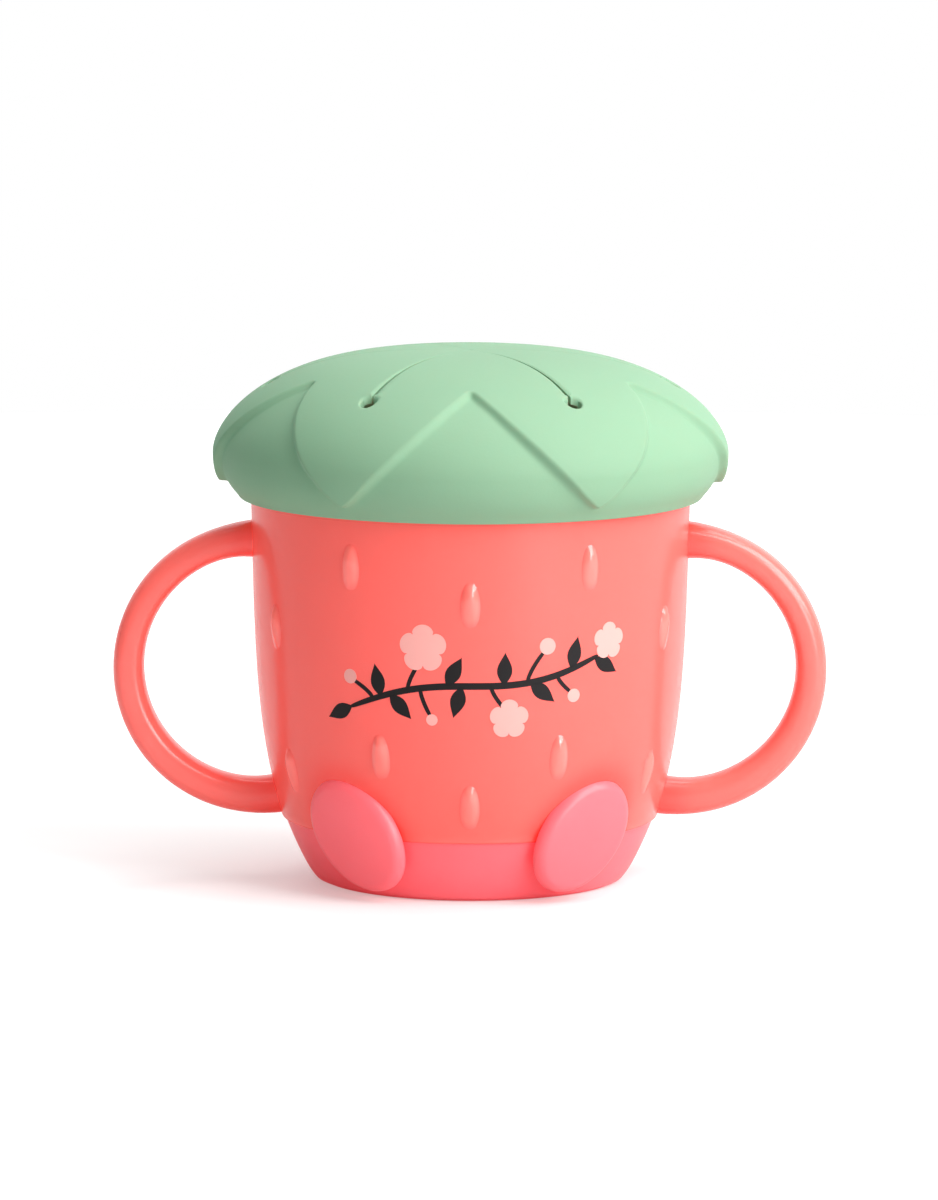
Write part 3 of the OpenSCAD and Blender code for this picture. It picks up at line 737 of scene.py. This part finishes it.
def stem_z(along):
    """Height of the stem at a distance along the wall from its middle: one whole sine wave
    over its length, on a slight rise."""
    wave = np.sin(2 * np.pi * (along - STEM_FROM) / (STEM_TO - STEM_FROM))
    return STEM_MID_Z + STEM_WAVE * wave + STEM_RISE * along


def ink_stroke(along, z, width):
    """A stroke on the wall: a line of points, a flat strip across it whose half width is half
    the given one times the fourth root of one less the fourth power of the way along it from
    its middle, lifted by the film, and a back as far under the surface."""
    way = np.linspace(-1, 1, len(along))
    half = (width / 2 * np.maximum(1 - way ** 4, 0) ** 0.25)[:, None]
    da, dz = np.gradient(along)[:, None], np.gradient(z)[:, None]
    size = np.hypot(da, dz)
    side = np.array((-1, -1, -0.5, 0, 0.5, 1, 1))[None]
    lift = FILM * np.array((-1, 1, 1, 1, 1, 1, -1))[None]
    a, h = along[:, None] - dz / size * half * side, z[:, None] + da / size * half * side
    r = wall_r(h) + lift
    angle = a / wall_r(h)
    return np.stack((r * np.sin(angle), -r * np.cos(angle), h), -1)


def blossom_outline(radius, deep):
    """A flower of five petals: its radius is full at the middle of each and less by a share
    between them, by the square root of the absolute cosine of two and a half times the
    angle. With a share of zero it is a round bud."""
    a = np.linspace(0, 2 * np.pi, 120, endpoint=False)
    r = radius * (1 - deep + deep * np.sqrt(np.abs(np.cos(2.5 * a))))
    return np.stack((r * np.sin(a), r * np.cos(a)), -1)


def leaf_outline(turn):
    """A leaf about its middle, its tip turned from the wall's level line: the half width is
    the sine, to the power 1.2, of half a turn times the share of its length to the power
    0.85, so that it is widest nearer its base."""
    a = np.linspace(0, 2 * np.pi, 64, endpoint=False)
    share = (1 - np.cos(a)) / 2
    across = np.sign(np.sin(a)) * np.sin(np.pi * share ** 0.85) ** 1.2 * LEAF_WIDE / 2
    along = (share - 0.5) * LEAF_LONG
    return np.stack((along * math.cos(turn) - across * math.sin(turn),
                     along * math.sin(turn) + across * math.cos(turn)), -1)


def at_wall(along, z):
    """Azimuths in degrees and heights of points at distances along the wall."""
    return np.stack((np.degrees(along / wall_r(z)), z), -1)


black_ink = plastic("black_ink", INK_BLACK, 0.5, shade=0.8, ior=1.3)
pink_ink = plastic("pink_ink", INK_PINK, 0.36, soft=0.1, shade=0.97)
stem = np.linspace(STEM_FROM, STEM_TO, 160)
strokes = [ink_stroke(stem, stem_z(stem), STEM_W)]
t = np.linspace(0, 1, 160)
for start, end, top in stalks:
    strokes.append(ink_stroke(start + (end - start) * t ** 1.5,
                              stem_z(start) + (top - stem_z(start)) * t, STALK_W))
bases, turns = leaves[:, 0], np.radians(leaves[:, 1])
leaf_at = at_wall(bases + LEAF_LONG / 2 * np.cos(turns),
                  stem_z(bases) + LEAF_LONG / 2 * np.sin(turns))
leaf_outlines = np.stack([leaf_outline(turn) for turn in turns])
petals = np.stack([blossom_outline(radius, 0.3) for radius in blossoms[:, 0]])
rounds = np.stack([blossom_outline(radius, 0) for radius in buds[:, 0]])
black_lift, pink_lift = np.full(5, FILM), np.full(5, FILM + FILM_OVER)
sprig = (
    ("print_stem", np.stack(strokes), black_ink),
    ("print_leaves", wall_pads(leaf_outlines, leaf_at, black_lift, FILM), black_ink),
    ("print_blossoms", wall_pads(petals, at_wall(*blossoms[:, 1:].T), pink_lift, FILM), pink_ink),
    ("print_buds", wall_pads(rounds, at_wall(*buds[:, 1:].T), pink_lift, FILM), pink_ink),
)
for name, points, ink in sprig:
    film = piece(name, points)
    film.data.materials.append(ink)
    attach(film, "cup")
